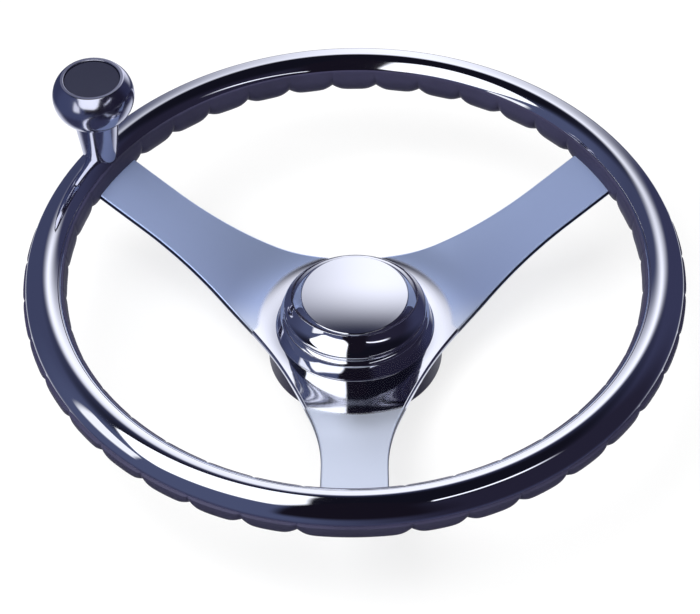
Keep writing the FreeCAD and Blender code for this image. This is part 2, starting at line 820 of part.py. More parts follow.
def buildAccessPlug():
    low = "(rimHeight - bellyRadius - bellyDrop + plugSink)"
    return knobPiece("access_plug", [
        ("0", low),
        (accessRadius + " - fitGap", low),
        (accessRadius + " - fitGap", low + " + plugDepth"),
        ("0", low + " + plugDepth"),
    ])


# Axle: a hard sleeve clamped to the neck by a bolt and a large washer, which the bushes run on.

def buildAxleSpacer():
    return knobPiece("axle_spacer", tube(boltHole, "spacerRadius", neckTop, spacerTop))


def buildRetainingWasher():
    return knobPiece("retaining_washer",
                     tube(boltHole, "washerRadius", spacerTop, spacerTop + " + washerWall"))


def buildAxleBolt():
    headLow = "(%s + washerWall)" % spacerTop
    headTop = "(%s + axleHeadHeight)" % headLow
    end = neckTop + " - axleGrip"
    bolt = knobPiece("axle_bolt", [
        ("0", end),
        ("boltRadius", end),
        ("boltRadius", headLow),
        ("axleHead", headLow),
        ("axleHead", headTop + " - axleCrown"),
        ("axleHead - axleCrown", headTop),
        ("0", headTop),
    ])
    doc.recompute()
    pocket(bolt, "bolt_socket", lambda sketch: hexagon(sketch, "0", "0", "axleKey"),
           headTop + " - axleKeyDepth", headTop + " + axleKeyDepth")
    return bolt


# Knob: a shell of polished sheet, a moulded core pressed in it, two bushes and the top's insert.

ballFoot = "(%s + knobGap)" % neckTop
ballCentre = "(%s + ballBelow)" % ballFoot
ballTop = "(%s + ballAbove)" % ballCentre
shellFloor = "(%s + shellWall)" % ballFoot
insertLow = "(%s - insertSink - insertWall)" % ballTop
bushBore = "(spacerRadius + runningGap)"
bushRadius = "(%s + bushWall)" % bushBore
upperSeat = "(%s - endGap - upperFlangeWall)" % spacerTop
shellOpening = "(bushFlange + holeGap)"


def ballRadius(arc, height):
    """Distance from the knob's axis of the ball's arc at a height."""
    return "(ballOffset + sqrt(%s^2 - (%s - %s)^2))" % (arc, height, ballCentre)


def buildLowerBush():
    return knobPiece("lower_bush", [
        (bushBore, neckTop + " + endGap"),
        ("bushFlange", neckTop + " + endGap"),
        ("bushFlange", shellFloor),
        (bushRadius, shellFloor),
        (bushRadius, shellFloor + " + bushLength"),
        (bushBore, shellFloor + " + bushLength"),
    ])


def buildUpperBush():
    return knobPiece("upper_bush", [
        (bushBore, upperSeat + " - bushLength"),
        (bushRadius, upperSeat + " - bushLength"),
        (bushRadius, upperSeat),
        ("bushFlange", upperSeat),
        ("bushFlange", upperSeat + " + upperFlangeWall"),
        (bushBore, upperSeat + " + upperFlangeWall"),
    ])


def buildKnobShell():
    small = "(ballArc - ballEdge)"
    lowerX = ballRadius(small, "(%s + ballEdge)" % ballFoot)
    upperX = ballRadius(small, "(%s - ballEdge)" % ballTop)
    grow = "(ballArc / %s)" % small
    inner = "(ballArc - shellWall)"
    return knobPiece("knob_shell", [
        (shellOpening, ballFoot),
        (lowerX, ballFoot),
        ("ballOffset + (%s - ballOffset) * %s" % (lowerX, grow),
         "%s - (ballBelow - ballEdge) * %s" % (ballCentre, grow), "ballEdge", 1, False),
        ("ballOffset + (%s - ballOffset) * %s" % (upperX, grow),
         "%s + (ballAbove - ballEdge) * %s" % (ballCentre, grow), "ballArc", 1, False),
        (upperX, ballTop, "ballEdge", 1, False),
        ("insertRadius + fitGap", ballTop),
        ("insertRadius + fitGap", insertLow),
        (ballRadius(inner, insertLow), insertLow),
        (ballRadius(inner, shellFloor), shellFloor, inner, -1, False),
        (shellOpening, shellFloor),
    ])


def buildKnobCore():
    outer = "(ballArc - shellWall - runningGap)"
    well = "(washerRadius + wellGap)"
    return knobPiece("knob_core", [
        (bushRadius, shellFloor),
        (ballRadius(outer, shellFloor), shellFloor),
        ("ballOffset + " + outer, ballCentre),
        (ballRadius(outer, insertLow), insertLow),
        (well, insertLow),
        (well, upperSeat),
        (bushRadius, upperSeat),
    ])


def buildKnobInsert():
    return knobPiece("knob_insert", [
        ("0", insertLow),
        ("insertRadius", insertLow),
        ("insertRadius", insertLow + " + insertWall"),
        ("0", insertLow + " + insertWall"),
    ])


pieces = [
    buildRimTube(),
    buildSpokeSpider(),
    buildHubSleeve(),
    buildHubScrews(),
    buildCapRetainer(),
    buildCentreCap(),
    buildHubShroud(),
    buildShroudScrews(),
    buildKnobPedestal(),
    buildSaddleWasher(),
    buildPedestalBolt(),
    buildAccessPlug(),
    buildAxleSpacer(),
    buildRetainingWasher(),
    buildAxleBolt(),
    buildLowerBush(),
    buildUpperBush(),
    buildKnobShell(),
    buildKnobCore(),
    buildKnobInsert(),
    buildRimGrip(),
]
doc.recompute()

for item in doc.Objects:
    for flag in ("Invalid", "Error"):
        if flag in item.State:
            raise RuntimeError("%s is %s" % (item.Name, flag))
for piece in pieces:
    if piece.Shape.isNull() or not piece.Shape.isValid():
        raise RuntimeError("%s has no valid shape" % piece.Label)
for piece in pieces:
    piece.Shape.exportStep("parts/%s.step" % piece.Label)
    print("%s: %d solid(s), %.0f mm3" % (piece.Label, len(piece.Shape.Solids), piece.Shape.Volume))
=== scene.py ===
import json
import math
import bpy
import numpy as np
from mathutils import Matrix, Vector


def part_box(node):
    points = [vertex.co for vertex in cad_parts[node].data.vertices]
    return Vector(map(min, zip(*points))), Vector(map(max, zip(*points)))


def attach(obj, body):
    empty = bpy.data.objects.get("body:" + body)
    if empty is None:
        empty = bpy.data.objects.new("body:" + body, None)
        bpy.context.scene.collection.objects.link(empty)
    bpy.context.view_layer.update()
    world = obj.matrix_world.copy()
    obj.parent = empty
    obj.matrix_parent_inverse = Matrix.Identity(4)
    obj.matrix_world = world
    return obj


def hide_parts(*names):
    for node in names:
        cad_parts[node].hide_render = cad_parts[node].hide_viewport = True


# Stainless boat steering wheel: mirror-polished rim, knob and cap, satin spokes, moulded finger grip.
# Sizes in the settings are millimetres, angles are degrees, colours are sRGB from 0 to 255.

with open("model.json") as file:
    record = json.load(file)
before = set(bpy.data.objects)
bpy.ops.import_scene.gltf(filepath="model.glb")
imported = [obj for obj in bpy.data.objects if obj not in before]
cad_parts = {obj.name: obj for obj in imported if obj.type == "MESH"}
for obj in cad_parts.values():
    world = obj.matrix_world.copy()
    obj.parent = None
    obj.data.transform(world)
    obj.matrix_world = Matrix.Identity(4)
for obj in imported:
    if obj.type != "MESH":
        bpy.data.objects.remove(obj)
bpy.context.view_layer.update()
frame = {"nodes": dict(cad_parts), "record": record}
nodes = frame["nodes"]
scene = bpy.context.scene
print("frame loaded:", len(nodes), "nodes")

mm = 0.001


def colour(red, green, blue):
    # sRGB to the linear numbers that the shaders take.
    def linear(value):
        value /= 255
        return value / 12.92 if value <= 0.04045 else ((value + 0.055) / 1.055) ** 2.4
    return (linear(red), linear(green), linear(blue), 1.0)


def limits(node):
    low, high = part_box(node)
    return low / mm, high / mm


# The wheel's main sizes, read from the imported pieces.
tubeLow, tubeHigh = limits("rim_tube")
capLow, capHigh = limits("centre_cap")
shellLow, shellHigh = limits("knob_shell")
insertLow, insertHigh = limits("knob_insert")
neckHigh = limits("knob_pedestal")[1]
drumHigh = limits("hub_shroud")[1]

wheel = {
    "tubeRadius": (tubeHigh.z - tubeLow.z) / 2,
    "rimHeight": (tubeHigh.z + tubeLow.z) / 2,
    "spokes": 3,
    "spokeAngles": (270, 30, 150),
    "lobes": 39,            # equal divisions of the grip, of which the plain lobe over each spoke takes two
}
wheel["rimRadius"] = tubeHigh.x - wheel["tubeRadius"]
knobCentre = Vector(((shellLow.x + shellHigh.x) / 2, (shellLow.y + shellHigh.y) / 2, 0))


def makeMesh(name, points, faces, normals=None):
    # A mesh object from points in millimetres, with its own exact normals if they are known.
    mesh = bpy.data.meshes.new(name)
    mesh.from_pydata([tuple(p) for p in np.asarray(points) * mm], [], faces)
    mesh.update()
    mesh.shade_smooth()
    if normals is not None:
        mesh.normals_split_custom_set_from_vertices([tuple(n) for n in normals])
    piece = bpy.data.objects.new(name, mesh)
    scene.collection.objects.link(piece)
    return piece


def gridFaces(rows, columns, closedRows=False, closedColumns=False, flip=False):
    faces = []
    for i in range(rows if closedRows else rows - 1):
        for j in range(columns if closedColumns else columns - 1):
            a = i * columns + j
            b = i * columns + (j + 1) % columns
            c = ((i + 1) % rows) * columns + (j + 1) % columns
            d = ((i + 1) % rows) * columns + j
            faces.append((a, d, c, b) if flip else (a, b, c, d))
    return faces


def roundedPath(corners, closed=False, stepAngle=5):
    # Points along straight runs with an arc at each corner. A corner is (x, y, radius).
    path = []
    count = len(corners)
    for index, (x, y, radius) in enumerate(corners):
        here = np.array([x, y], float)
        if radius == 0 or (not closed and index in (0, count - 1)):
            path.append(here)
            continue
        before = np.array(corners[index - 1][:2], float) - here
        after = np.array(corners[(index + 1) % count][:2], float) - here
        before /= np.linalg.norm(before)
        after /= np.linalg.norm(after)
        half = math.acos(np.clip(before @ after, -1, 1)) / 2
        reach = radius / math.tan(half)
        middle = (before + after) / np.linalg.norm(before + after)
        centre = here + middle * radius / math.sin(half)
        start = here + before * reach - centre
        turn = math.pi - 2 * half
        side = 1 if start[1] * before[0] - start[0] * before[1] > 0 else -1
        steps = max(3, math.ceil(math.degrees(turn) / stepAngle))
        for step in range(steps + 1):
            angle = side * turn * step / steps
            cos, sin = math.cos(angle), math.sin(angle)
            path.append(centre + np.array([cos * start[0] - sin * start[1], sin * start[0] + cos * start[1]]))
    return np.array(path)


def arcPoints(centreX, centreY, radius, start, end, steps):
    angles = np.radians(np.linspace(start, end, steps + 1))
    return np.stack([centreX + radius * np.cos(angles), centreY + radius * np.sin(angles)], 1)


def pathNormals(path, closed=False):
    # Normals on the right-hand side of a path. The longer of a point's two runs counts most.
    runs = np.roll(path, -1, 0) - path
    # A straight run keeps its own normal where it meets an arc's short step.
    runs = runs * np.linalg.norm(runs, axis=1, keepdims=True)
    back = np.roll(runs, 1, 0)
    if not closed:
        runs[-1] = back[-1]
        back[0] = runs[0]
    total = runs + back
    total /= np.linalg.norm(total, axis=1, keepdims=True)
    return np.stack([total[:, 1], -total[:, 0]], 1)


def lathe(name, path, centre=(0, 0), segments=192, closed=False):
    # Turn a path of (radius, height) about a vertical axis. The outside lies on the path's right.
    path = np.asarray(path, float)
    sides = pathNormals(path, closed)
    angles = np.linspace(0, 2 * math.pi, segments, endpoint=False)
    points, normals, rings = [], [], []
    for (radius, height), (outward, upward) in zip(path, sides):
        if radius < 1e-6:
            rings.append([len(points)] * segments)
            points.append((centre[0], centre[1], height))
            normals.append((0, 0, 1 if upward > 0 else -1))
            continue
        rings.append(list(range(len(points), len(points) + segments)))
        for angle in angles:
            cos, sin = math.cos(angle), math.sin(angle)
            points.append((centre[0] + radius * cos, centre[1] + radius * sin, height))
            normals.append((outward * cos, outward * sin, upward))
    faces = []
    count = len(rings)
    for i in range(count if closed else count - 1):
        low, high = rings[i], rings[(i + 1) % count]
        for j in range(segments):
            k = (j + 1) % segments
            corners = [low[j], low[k], high[k], high[j]]
            face = [c for n, c in enumerate(corners) if c != corners[n - 1]]
            if len(face) > 2:
                faces.append(face)
    return makeMesh(name, points, faces, normals)


# Rim tube

rimTube = {"aroundWheel": 384, "aroundTube": 72}


def buildRimTube():
    around = np.linspace(0, 2 * math.pi, rimTube["aroundWheel"], endpoint=False)[:, None]
    section = np.linspace(0, 2 * math.pi, rimTube["aroundTube"], endpoint=False)[None, :]
    around, section = np.broadcast_arrays(around, section)
    normals = np.stack([np.cos(section) * np.cos(around), np.cos(section) * np.sin(around),
                        np.sin(section)], -1)
    radius, tube = wheel["rimRadius"], wheel["tubeRadius"]
    centres = np.stack([radius * np.cos(around), radius * np.sin(around),
                        0 * around + wheel["rimHeight"]], -1)
    points = centres + tube * normals
    faces = gridFaces(rimTube["aroundWheel"], rimTube["aroundTube"], True, True, flip=True)
    return makeMesh("rimTubePolished", points.reshape(-1, 3), faces, normals.reshape(-1, 3))


# Finger grip

grip = {
    "lipAngle": 154,        # where the moulding ends on the inner side, round from the outer equator
    "lipWall": 0.8,
    "bellyRadius": 11.4,
    "bellyDrop": 2.6,
    "cuspWall": 0.5,
    "crest": 14.2,
    "blend": 0.55,          # how softly a lobe's end runs into its belly
    "notchDip": 0.4,        # share of that blend by which a notch may lie deeper
    "edgeRound": 0.9,
    "inside": 9.98,         # the moulding's hidden inner face, just within the tube's skin
    "sharpAngle": 38,       # edges steeper than this stay crisp
    "stepsPerLobe": 24,
    "stepsAround": 56,
    "stepsInside": 6,
}


def buildRimGrip():
    lobes, steps = wheel["lobes"], grip["stepsPerLobe"]
    radius = wheel["rimRadius"]
    count = lobes * steps
    angles = np.arange(count) * 360 / count + wheel["spokeAngles"][1]
    pitch = 2 * math.pi * radius / lobes
    # Notches stand at half divisions from each window's middle, and none lies over a spoke.
    toWindow = (angles - 90) % (360 / wheel["spokes"])
    toWindow = np.minimum(toWindow, 360 / wheel["spokes"] - toWindow)
    division = 360 / lobes
    nearest = (np.floor(toWindow / division) + 0.5) * division
    last = (lobes / wheel["spokes"] - 2) / 2 * division
    nearest = np.minimum(nearest, last)
    away = np.abs(toWindow - nearest) / division * pitch
    half = pitch / 2
    cusp = wheel["tubeRadius"] + grip["cuspWall"]
    depth = grip["crest"] - cusp
    lobeArc = (half * half + depth * depth) / (2 * depth)
    fromCrest = np.maximum(half - away, 0)
    lobe = cusp + np.sqrt(lobeArc ** 2 - fromCrest ** 2) - (lobeArc - depth)

    section = np.linspace(grip["lipAngle"], 360, grip["stepsAround"])
    turn = np.radians(section)
    belly = -grip["bellyDrop"] * np.sin(turn) + np.sqrt(
        grip["bellyRadius"] ** 2 - (grip["bellyDrop"] * np.cos(turn)) ** 2)
    base = np.maximum(belly, wheel["tubeRadius"] + grip["lipWall"])
    blend = grip["blend"]
    gap = base[None, :] - lobe[:, None]
    soft = np.minimum(base[None, :], lobe[:, None]) - blend * np.exp(-np.abs(gap) / blend) * 0.5
    outer = np.maximum(soft, cusp - blend * grip["notchDip"])
    outer = np.where(base[None, :] < cusp, base[None, :], outer)
    # Both long edges are rounded down to the tube.
    for end in (grip["lipAngle"], 360):
        toEdge = np.radians(np.abs(section - end)) * wheel["tubeRadius"]
        drop = np.clip(1 - toEdge / grip["edgeRound"], 0, 1)
        keep = np.sqrt(np.maximum(1 - drop ** 2, 0))
        outer = wheel["tubeRadius"] + (outer - wheel["tubeRadius"]) * keep[None, :]
    insideTurn = np.radians(np.linspace(360, grip["lipAngle"], grip["stepsInside"]))
    turns = np.concatenate([turn, insideTurn])
    radii = np.concatenate([outer, np.full((count, grip["stepsInside"]), grip["inside"])], 1)
    a = np.radians(angles)[:, None]
    reach = radius + radii * np.cos(turns)[None, :]
    height = wheel["rimHeight"] + radii * np.sin(turns)[None, :]
    points = np.stack([reach * np.cos(a), reach * np.sin(a), height], -1)
    faces = gridFaces(count, len(turns), True, True, flip=True)
    piece = makeMesh("rimGripMoulding", points.reshape(-1, 3), faces)
    piece.data.set_sharp_from_angle(angle=math.radians(grip["sharpAngle"]))
    return piece


# Spoke sheet with its raised boss

sheet = {
    "wall": 3.0,
    "spokeWidth": 33.5,
    "valleyRadius": 195.0,
    "plateTop": 22.5,
    "foldRadius": 57.4,     # middle of the bend between plate and arms
    "foldBend": 70.0,       # radius of that bend, seen from the side
    "aim": 0.7,             # the arms' top face passes this far above the tube's centre
    "bossTop": 34.2,
    "bossNeck": 39.3,       # where the leaning side would meet the boss's top
    "bossFoot": 42.0,       # the pressed side leans out to here
    "bossRound": 4.5,       # the shoulder under the cap's bead
    "bossInside": 0.4,      # round inside that shoulder
    "bossCove": 0.8,
    "bossSteps": 240,
    "footRing": 1.4,        # width of the plate's first ring outside the boss's foot
    "plateSteps": 7,
    "holeRadius": 17.1,
    "holeRound": 0.3,
    "edgeRound": 1.2,
    "edgeSteps": 6,
    "valleySteps": 130,
    "armSteps": 60,
    "acrossSteps": 40,
}


def sheetHeight(radius):
    # Height and slope of the sheet's top face outside the boss.
    rise = wheel["rimHeight"] + sheet["aim"] - sheet["plateTop"]
    slope = math.atan2(rise, wheel["rimRadius"] - sheet["foldRadius"])
    reach = sheet["foldBend"] * math.tan(slope / 2)
    start = sheet["foldRadius"] - reach
    end = sheet["foldRadius"] + reach * math.cos(slope)
    radius = np.asarray(radius, float)
    run = np.clip(radius - start, 0, end - start)
    bend = sheet["foldBend"] - np.sqrt(sheet["foldBend"] ** 2 - run ** 2)
    height = sheet["plateTop"] + bend + np.maximum(radius - end, 0) * math.tan(slope)
    tilt = np.where(radius > end, slope, np.arcsin(np.clip(run / sheet["foldBend"], 0, 1)))
    return height, tilt


def buildSpokeSheet():
    half = math.pi / wheel["spokes"]
    valley, width, edge = sheet["valleyRadius"], sheet["spokeWidth"] / 2, sheet["edgeRound"]
    # The window's arc, drawn beside an arm that points along +X. Its centre lies at the angle half.
    distance = (valley + width) / math.sin(half)
    centre = distance * np.array([math.cos(half), math.sin(half)])
    first = half + math.pi
    last = -math.pi / 2
    arcAngles = np.linspace(first, 2 * math.pi + last, sheet["valleySteps"] + 1)
    arc = centre + valley * np.stack([np.cos(arcAngles), np.sin(arcAngles)], 1)
    arcIn = np.stack([np.cos(arcAngles), np.sin(arcAngles)], 1)
    end = wheel["rimRadius"] - wheel["tubeRadius"] / 2
    run = np.linspace(arc[-1][0], end, sheet["armSteps"] + 1)[1:]
    outlinePoints = np.concatenate([arc, np.stack([run, 0 * run + width], 1)])
    inward = np.concatenate([arcIn, np.stack([0 * run, 0 * run - 1], 1)])

    points, normals, faces = [], [], []

    def addRows(rows, rowNormals, flip=False):
        start = len(points)
        for row, rowNormal in zip(rows, rowNormals):
            points.extend(row)
            normals.extend(rowNormal)
        grid = gridFaces(len(rows), len(rows[0]), flip=flip)
        faces.extend([tuple(start + corner for corner in face) for face in grid])

    def topNormal(x, y, tilt):
        length = np.hypot(x, y)
        return np.stack([-np.sin(tilt) * x / length, -np.sin(tilt) * y / length, np.cos(tilt)], -1)

    def place(x, y, under):
        # Points and normals of the top face, or of the under face a wall's thickness below it.
        radius = np.hypot(x, y)
        height, tilt = sheetHeight(radius)
        normal = topNormal(x, y, tilt)
        top = np.stack([x, y, height], -1)
        if under:
            return top - normal * sheet["wall"], -normal
        return top, normal

    def turned(values, angle):
        cos, sin = math.cos(angle), math.sin(angle)
        spun = np.array(values, float)
        spun[..., 0], spun[..., 1] = (cos * values[..., 0] - sin * values[..., 1],
                                      sin * values[..., 0] + cos * values[..., 1])
        return spun

    across = np.linspace(-1, 1, sheet["acrossSteps"] + 1)
    innerEdge = outlinePoints + inward * edge
    ringRadius = np.hypot(innerEdge[:, 0], innerEdge[:, 1])
    ringAngle = np.arctan2(innerEdge[:, 1], innerEdge[:, 0])
    for angle in np.radians(wheel["spokeAngles"]):
        for under in (False, True):
            x = ringRadius[:, None] * np.cos(ringAngle[:, None] * across[None, :])
            y = ringRadius[:, None] * np.sin(ringAngle[:, None] * across[None, :])
            rows, rowNormals = place(x, y, under)
            addRows(turned(rows, angle), turned(rowNormals, angle), flip=not under)
        for side in (1, -1):
            flipSide = np.array([1, side])
            rows, rowNormals = [], []
            away = -inward * flipSide
            for step in range(sheet["edgeSteps"] + 1):
                roll = math.pi / 2 * step / sheet["edgeSteps"]
                spot = (outlinePoints + inward * edge * (1 - math.sin(roll))) * flipSide
                row, rowNormal = place(spot[:, 0], spot[:, 1], False)
                row[:, 2] -= edge * (1 - math.cos(roll))
                outward = np.concatenate([away, 0 * away[:, :1]], 1)
                rowNormal = rowNormal * math.cos(roll) + outward * math.sin(roll)
                rowNormal /= np.linalg.norm(rowNormal, axis=1, keepdims=True)
                rows.append(row)
                rowNormals.append(rowNormal)
            # The cut side goes straight down, and turns in under the sheet with a small round.
            spot = outlinePoints * flipSide
            low = place(spot[:, 0], spot[:, 1], True)[0]
            cutSide = rows[-1].copy()
            cutSide[:, 2] = low[:, 2] + edge / 3
            rows.append(cutSide)
            rowNormals.append(rowNormals[-1])
            for inset in (edge / 3, edge):
                spot = (outlinePoints + inward * inset) * flipSide
                row, rowNormal = place(spot[:, 0], spot[:, 1], True)
                rows.append(row)
                rowNormals.append(rowNormal)
            addRows(turned(np.array(rows), angle), turned(np.array(rowNormals), angle), flip=side < 0)

    # Boss: a turned profile from the plate's underside at the valleys, round the hole and out again.
    plate, top, wall = sheet["plateTop"], sheet["bossTop"], sheet["wall"]
    foot, neck, cove = sheet["bossFoot"], sheet["bossNeck"], sheet["bossCove"]
    hole, holeRound = sheet["holeRadius"], sheet["holeRound"]
    # The plate already rises a little between the boss's foot and the valleys.
    plateRadii = np.linspace(foot + sheet["footRing"], ringRadius[0], sheet["plateSteps"])
    rise, tilt = sheetHeight(plateRadii)
    topFace = [(x, z, 0) for x, z in zip(plateRadii, rise)]
    underFace = [(x, z, 0) for x, z in zip(plateRadii + np.sin(tilt) * wall, rise - np.cos(tilt) * wall)]
    profile = roundedPath(underFace[::-1] + [
        (foot - wall, plate - wall, cove + wall),
        (neck - wall, top - wall, sheet["bossInside"]),
        (hole, top - wall, holeRound),
        (hole, top, holeRound),
        (neck, top, sheet["bossRound"]),
        (foot, plate, cove),
    ] + topFace, stepAngle=4)
    sides = pathNormals(profile)
    spin = np.linspace(0, 2 * math.pi, sheet["bossSteps"] + 1)
    rows = np.stack([profile[:, None, 0] * np.cos(spin), profile[:, None, 0] * np.sin(spin),
                     profile[:, None, 1] + 0 * spin], -1)
    rowNormals = np.stack([sides[:, None, 0] * np.cos(spin), sides[:, None, 0] * np.sin(spin),
                           sides[:, None, 1] + 0 * spin], -1)
    addRows(rows, -rowNormals, flip=True)
    return makeMesh("spokeSheetPressed", points, faces, normals)


# Centre cap

cap = {
    "topRadius": 28.8,
    "dome": 0.7,            # rise of the top's middle over its edge
    "edgeRound": 0.8,
    "flare": 14.0,          # radius of the hollow side's arc
    "bead": 1.6,            # radius of the rolled lower edge
    "wall": 1.2,
    "insideCorner": 0.2,    # the corner under the top is cut off by this much
    "segments": 256,
}


def turnOf(run):
    return math.degrees(math.atan2(run[1], run[0]))


def buildCentreCap():
    # The side's arc ends on the top's round, and touches the bead from outside.
    foot = capHigh.x
    low, top = capLow.z, capHigh.z - cap["dome"]
    beadX, beadZ = foot - cap["bead"], low + cap["bead"]
    start = np.array([cap["topRadius"], top - cap["edgeRound"]])
    bead = np.array([beadX, beadZ])
    apart = start - bead
    length = np.linalg.norm(apart)
    reach = cap["flare"] + cap["bead"]
    along = (reach ** 2 - cap["flare"] ** 2 + length ** 2) / (2 * length)
    aside = math.sqrt(reach ** 2 - along ** 2)
    unit = apart / length
    centre = bead + along * unit + aside * np.array([unit[1], -unit[0]])
    toBead = turnOf(bead - centre) % 360
    toStart = turnOf(start - centre) % 360
    beadTurn = turnOf(centre - bead)
    inner = cap["flare"] + cap["wall"]
    innerEnd = centre[0] + inner * math.cos(math.radians(toStart))
    flat = cap["topRadius"] - cap["edgeRound"]
    domeArc = (flat ** 2 + cap["dome"] ** 2) / (2 * cap["dome"])
    domeHalf = math.degrees(math.asin(flat / domeArc))
    path = np.concatenate([
        [(0, top - cap["wall"])],
        [(innerEnd - cap["insideCorner"], top - cap["wall"])],
        arcPoints(centre[0], centre[1], inner, toStart, toBead, 40),
        arcPoints(beadX, beadZ, cap["bead"], 180, 360 + beadTurn, 36),
        arcPoints(centre[0], centre[1], cap["flare"], toBead, toStart, 40)[1:],
        arcPoints(flat, top - cap["edgeRound"], cap["edgeRound"], 0, 90 - domeHalf, 12)[1:],
        arcPoints(0, capHigh.z - domeArc, domeArc, 90 - domeHalf, 90, 16)[1:],
    ])
    return lathe("centreCapSpun", path, segments=cap["segments"])


# Drum below the sheet

drum = {"wall": 2.5, "floor": 3.0, "round": 1.2, "hole": 17.1, "edge": 0.4}


def buildDrum():
    outer, top = drumHigh.x, sheet["plateTop"] - sheet["wall"]
    path = roundedPath([
        (drum["hole"], 0, drum["edge"]),
        (outer, 0, drum["round"]),
        (outer, top, drum["edge"]),
        (outer - drum["wall"], top, drum["edge"]),
        (outer - drum["wall"], drum["floor"], drum["edge"]),
        (drum["hole"], drum["floor"], drum["edge"]),
    ], closed=True)
    return lathe("hubDrumMoulded", path, closed=True)


# Knob, its neck and its insert

knob = {
    "offset": 5.4,          # the ball's side is an arc whose centre lies this far from the knob's axis
    "arc": 16.5,
    "below": 14.9,          # from the knob's foot up to its widest ring
    "above": 11.7,          # and from there up to its top
    "edge": 1.0,
    "wall": 1.6,
    "mouth": 8.55,          # radius of the opening in the ball's foot
    "mouthRound": 0.3,
    "insertGap": 0.1,
    "insertEdge": 0.35,     # round of the ball's edge beside the insert
    "insertRound": 0.5,
    "insertUnder": 0.2,
    "insertDish": 0.25,
    "neckFoot": 9.7,        # the neck's radius where it leaves the top of the rim
    "neckTop": 12.3,
    "neckEdge": 0.5,
    "neckBore": 4.0,
    "boreRound": 0.3,
    "hiddenRound": 0.1,     # the neck's lower end lies in the tube
    "segments": 224,
    "insertSegments": 160,
}


def buildKnobShell():
    low, high = shellLow.z, shellHigh.z
    middle = low + knob["below"]
    small = knob["arc"] - knob["edge"]
    lowerX = knob["offset"] + math.sqrt(small ** 2 - (knob["below"] - knob["edge"]) ** 2)
    upperX = knob["offset"] + math.sqrt(small ** 2 - (knob["above"] - knob["edge"]) ** 2)
    lowerTurn = math.degrees(math.atan2(-(knob["below"] - knob["edge"]), lowerX - knob["offset"]))
    upperTurn = math.degrees(math.atan2(knob["above"] - knob["edge"], upperX - knob["offset"]))
    opening = (insertHigh.x - insertLow.x) / 2 + knob["insertGap"]
    mouth, mouthRound, insertEdge = knob["mouth"], knob["mouthRound"], knob["insertEdge"]
    inner = knob["arc"] - knob["wall"]
    lip = insertLow.z
    innerUpper = math.degrees(math.asin((lip - middle) / inner))
    innerLower = -math.degrees(math.asin((middle - low - knob["wall"]) / inner))
    path = np.concatenate([
        [(mouth, low + knob["wall"]), (mouth, low + mouthRound)],
        arcPoints(mouth + mouthRound, low + mouthRound, mouthRound, 180, 270, 5)[1:],
        arcPoints(lowerX, low + knob["edge"], knob["edge"], 270, 360 + lowerTurn, 10),
        arcPoints(knob["offset"], middle, knob["arc"], lowerTurn, upperTurn, 72)[1:],
        arcPoints(upperX, high - knob["edge"], knob["edge"], upperTurn, 90, 10)[1:],
        arcPoints(opening + insertEdge, high - insertEdge, insertEdge, 90, 180, 6),
        [(opening, lip)],
        arcPoints(knob["offset"], middle, inner, innerUpper, innerLower, 40),
    ])
    return lathe("knobShellSpun", path, centre=knobCentre, segments=knob["segments"], closed=True)


def buildKnobInsert():
    radius = (insertHigh.x - insertLow.x) / 2
    low, high = insertLow.z, insertHigh.z
    path = roundedPath([
        (0, low, 0),
        (radius, low, knob["insertUnder"]),
        (radius, high, knob["insertRound"]),
        (radius * 0.6, high - knob["insertDish"] * 0.5, 30),
        (0, high - knob["insertDish"], 0),
    ])
    return lathe("knobInsertDisc", path, centre=knobCentre, segments=knob["insertSegments"])


def buildNeck():
    # A cone that runs down into the tube, so that its foot follows the rim's round.
    rimTop, top = tubeHigh.z, neckHigh.z
    slope = (knob["neckTop"] - knob["neckFoot"]) / (top - rimTop)
    low = wheel["rimHeight"] + wheel["tubeRadius"] / 4
    path = roundedPath([
        (knob["neckBore"], low, knob["hiddenRound"]),
        (knob["neckFoot"] - slope * (rimTop - low), low, knob["hiddenRound"]),
        (knob["neckTop"], top, knob["neckEdge"]),
        (knob["neckBore"], top, knob["boreRound"]),
    ], closed=True)
    return lathe("knobNeckTurned", path, centre=knobCentre, closed=True)


# Shader helpers

def newMaterial(name):
    material = bpy.data.materials.new(name)
    material.use_nodes = True
    return material, material.node_tree, material.node_tree.nodes["Principled BSDF"]


def emptyMaterial(name):
    # A material with only an output, whose surface socket comes back too.
    material = bpy.data.materials.new(name)
    material.use_nodes = True
    tree = material.node_tree
    tree.nodes.clear()
    return material, tree, addNode(tree, "ShaderNodeOutputMaterial").inputs["Surface"]


def addNode(tree, kind, **values):
    node = tree.nodes.new(kind)
    for key, value in values.items():
        setattr(node, key, value)
    return node


def feed(tree, socket, value):
    # Link a socket, or set it where the value is a plain one.
    if isinstance(value, bpy.types.NodeSocket):
        tree.links.new(value, socket)
    else:
        socket.default_value = value


def mathNode(tree, operation, *values):
    node = addNode(tree, "ShaderNodeMath", operation=operation)
    for socket, value in zip(node.inputs, values):
        feed(tree, socket, value)
    return node.outputs[0]


def rampNode(tree, value, low, high, start=0.0, end=1.0, curve="SMOOTHSTEP"):
    # Goes from start to end while the value goes from low to high.
    node = addNode(tree, "ShaderNodeMapRange", interpolation_type=curve)
    labels = ("Value", "From Min", "From Max", "To Min", "To Max")
    for label, given in zip(labels, (value, low, high, start, end)):
        feed(tree, node.inputs[label], given)
    return node.outputs["Result"]


def mixNode(tree, kind, factor, first, second):
    node = addNode(tree, "ShaderNodeMix", data_type=kind)
    for label, value in (("Factor", factor), ("A", first), ("B", second)):
        feed(tree, node.inputs[label], value)
    return node.outputs["Result"]


def mixShaders(tree, factor, first, second):
    node = addNode(tree, "ShaderNodeMixShader")
    for socket, value in zip(node.inputs, (factor, first, second)):
        tree.links.new(value, socket)
    return node.outputs[0]


def splitVector(tree, vector):
    node = addNode(tree, "ShaderNodeSeparateXYZ")
    tree.links.new(vector, node.inputs[0])
    return node.outputs


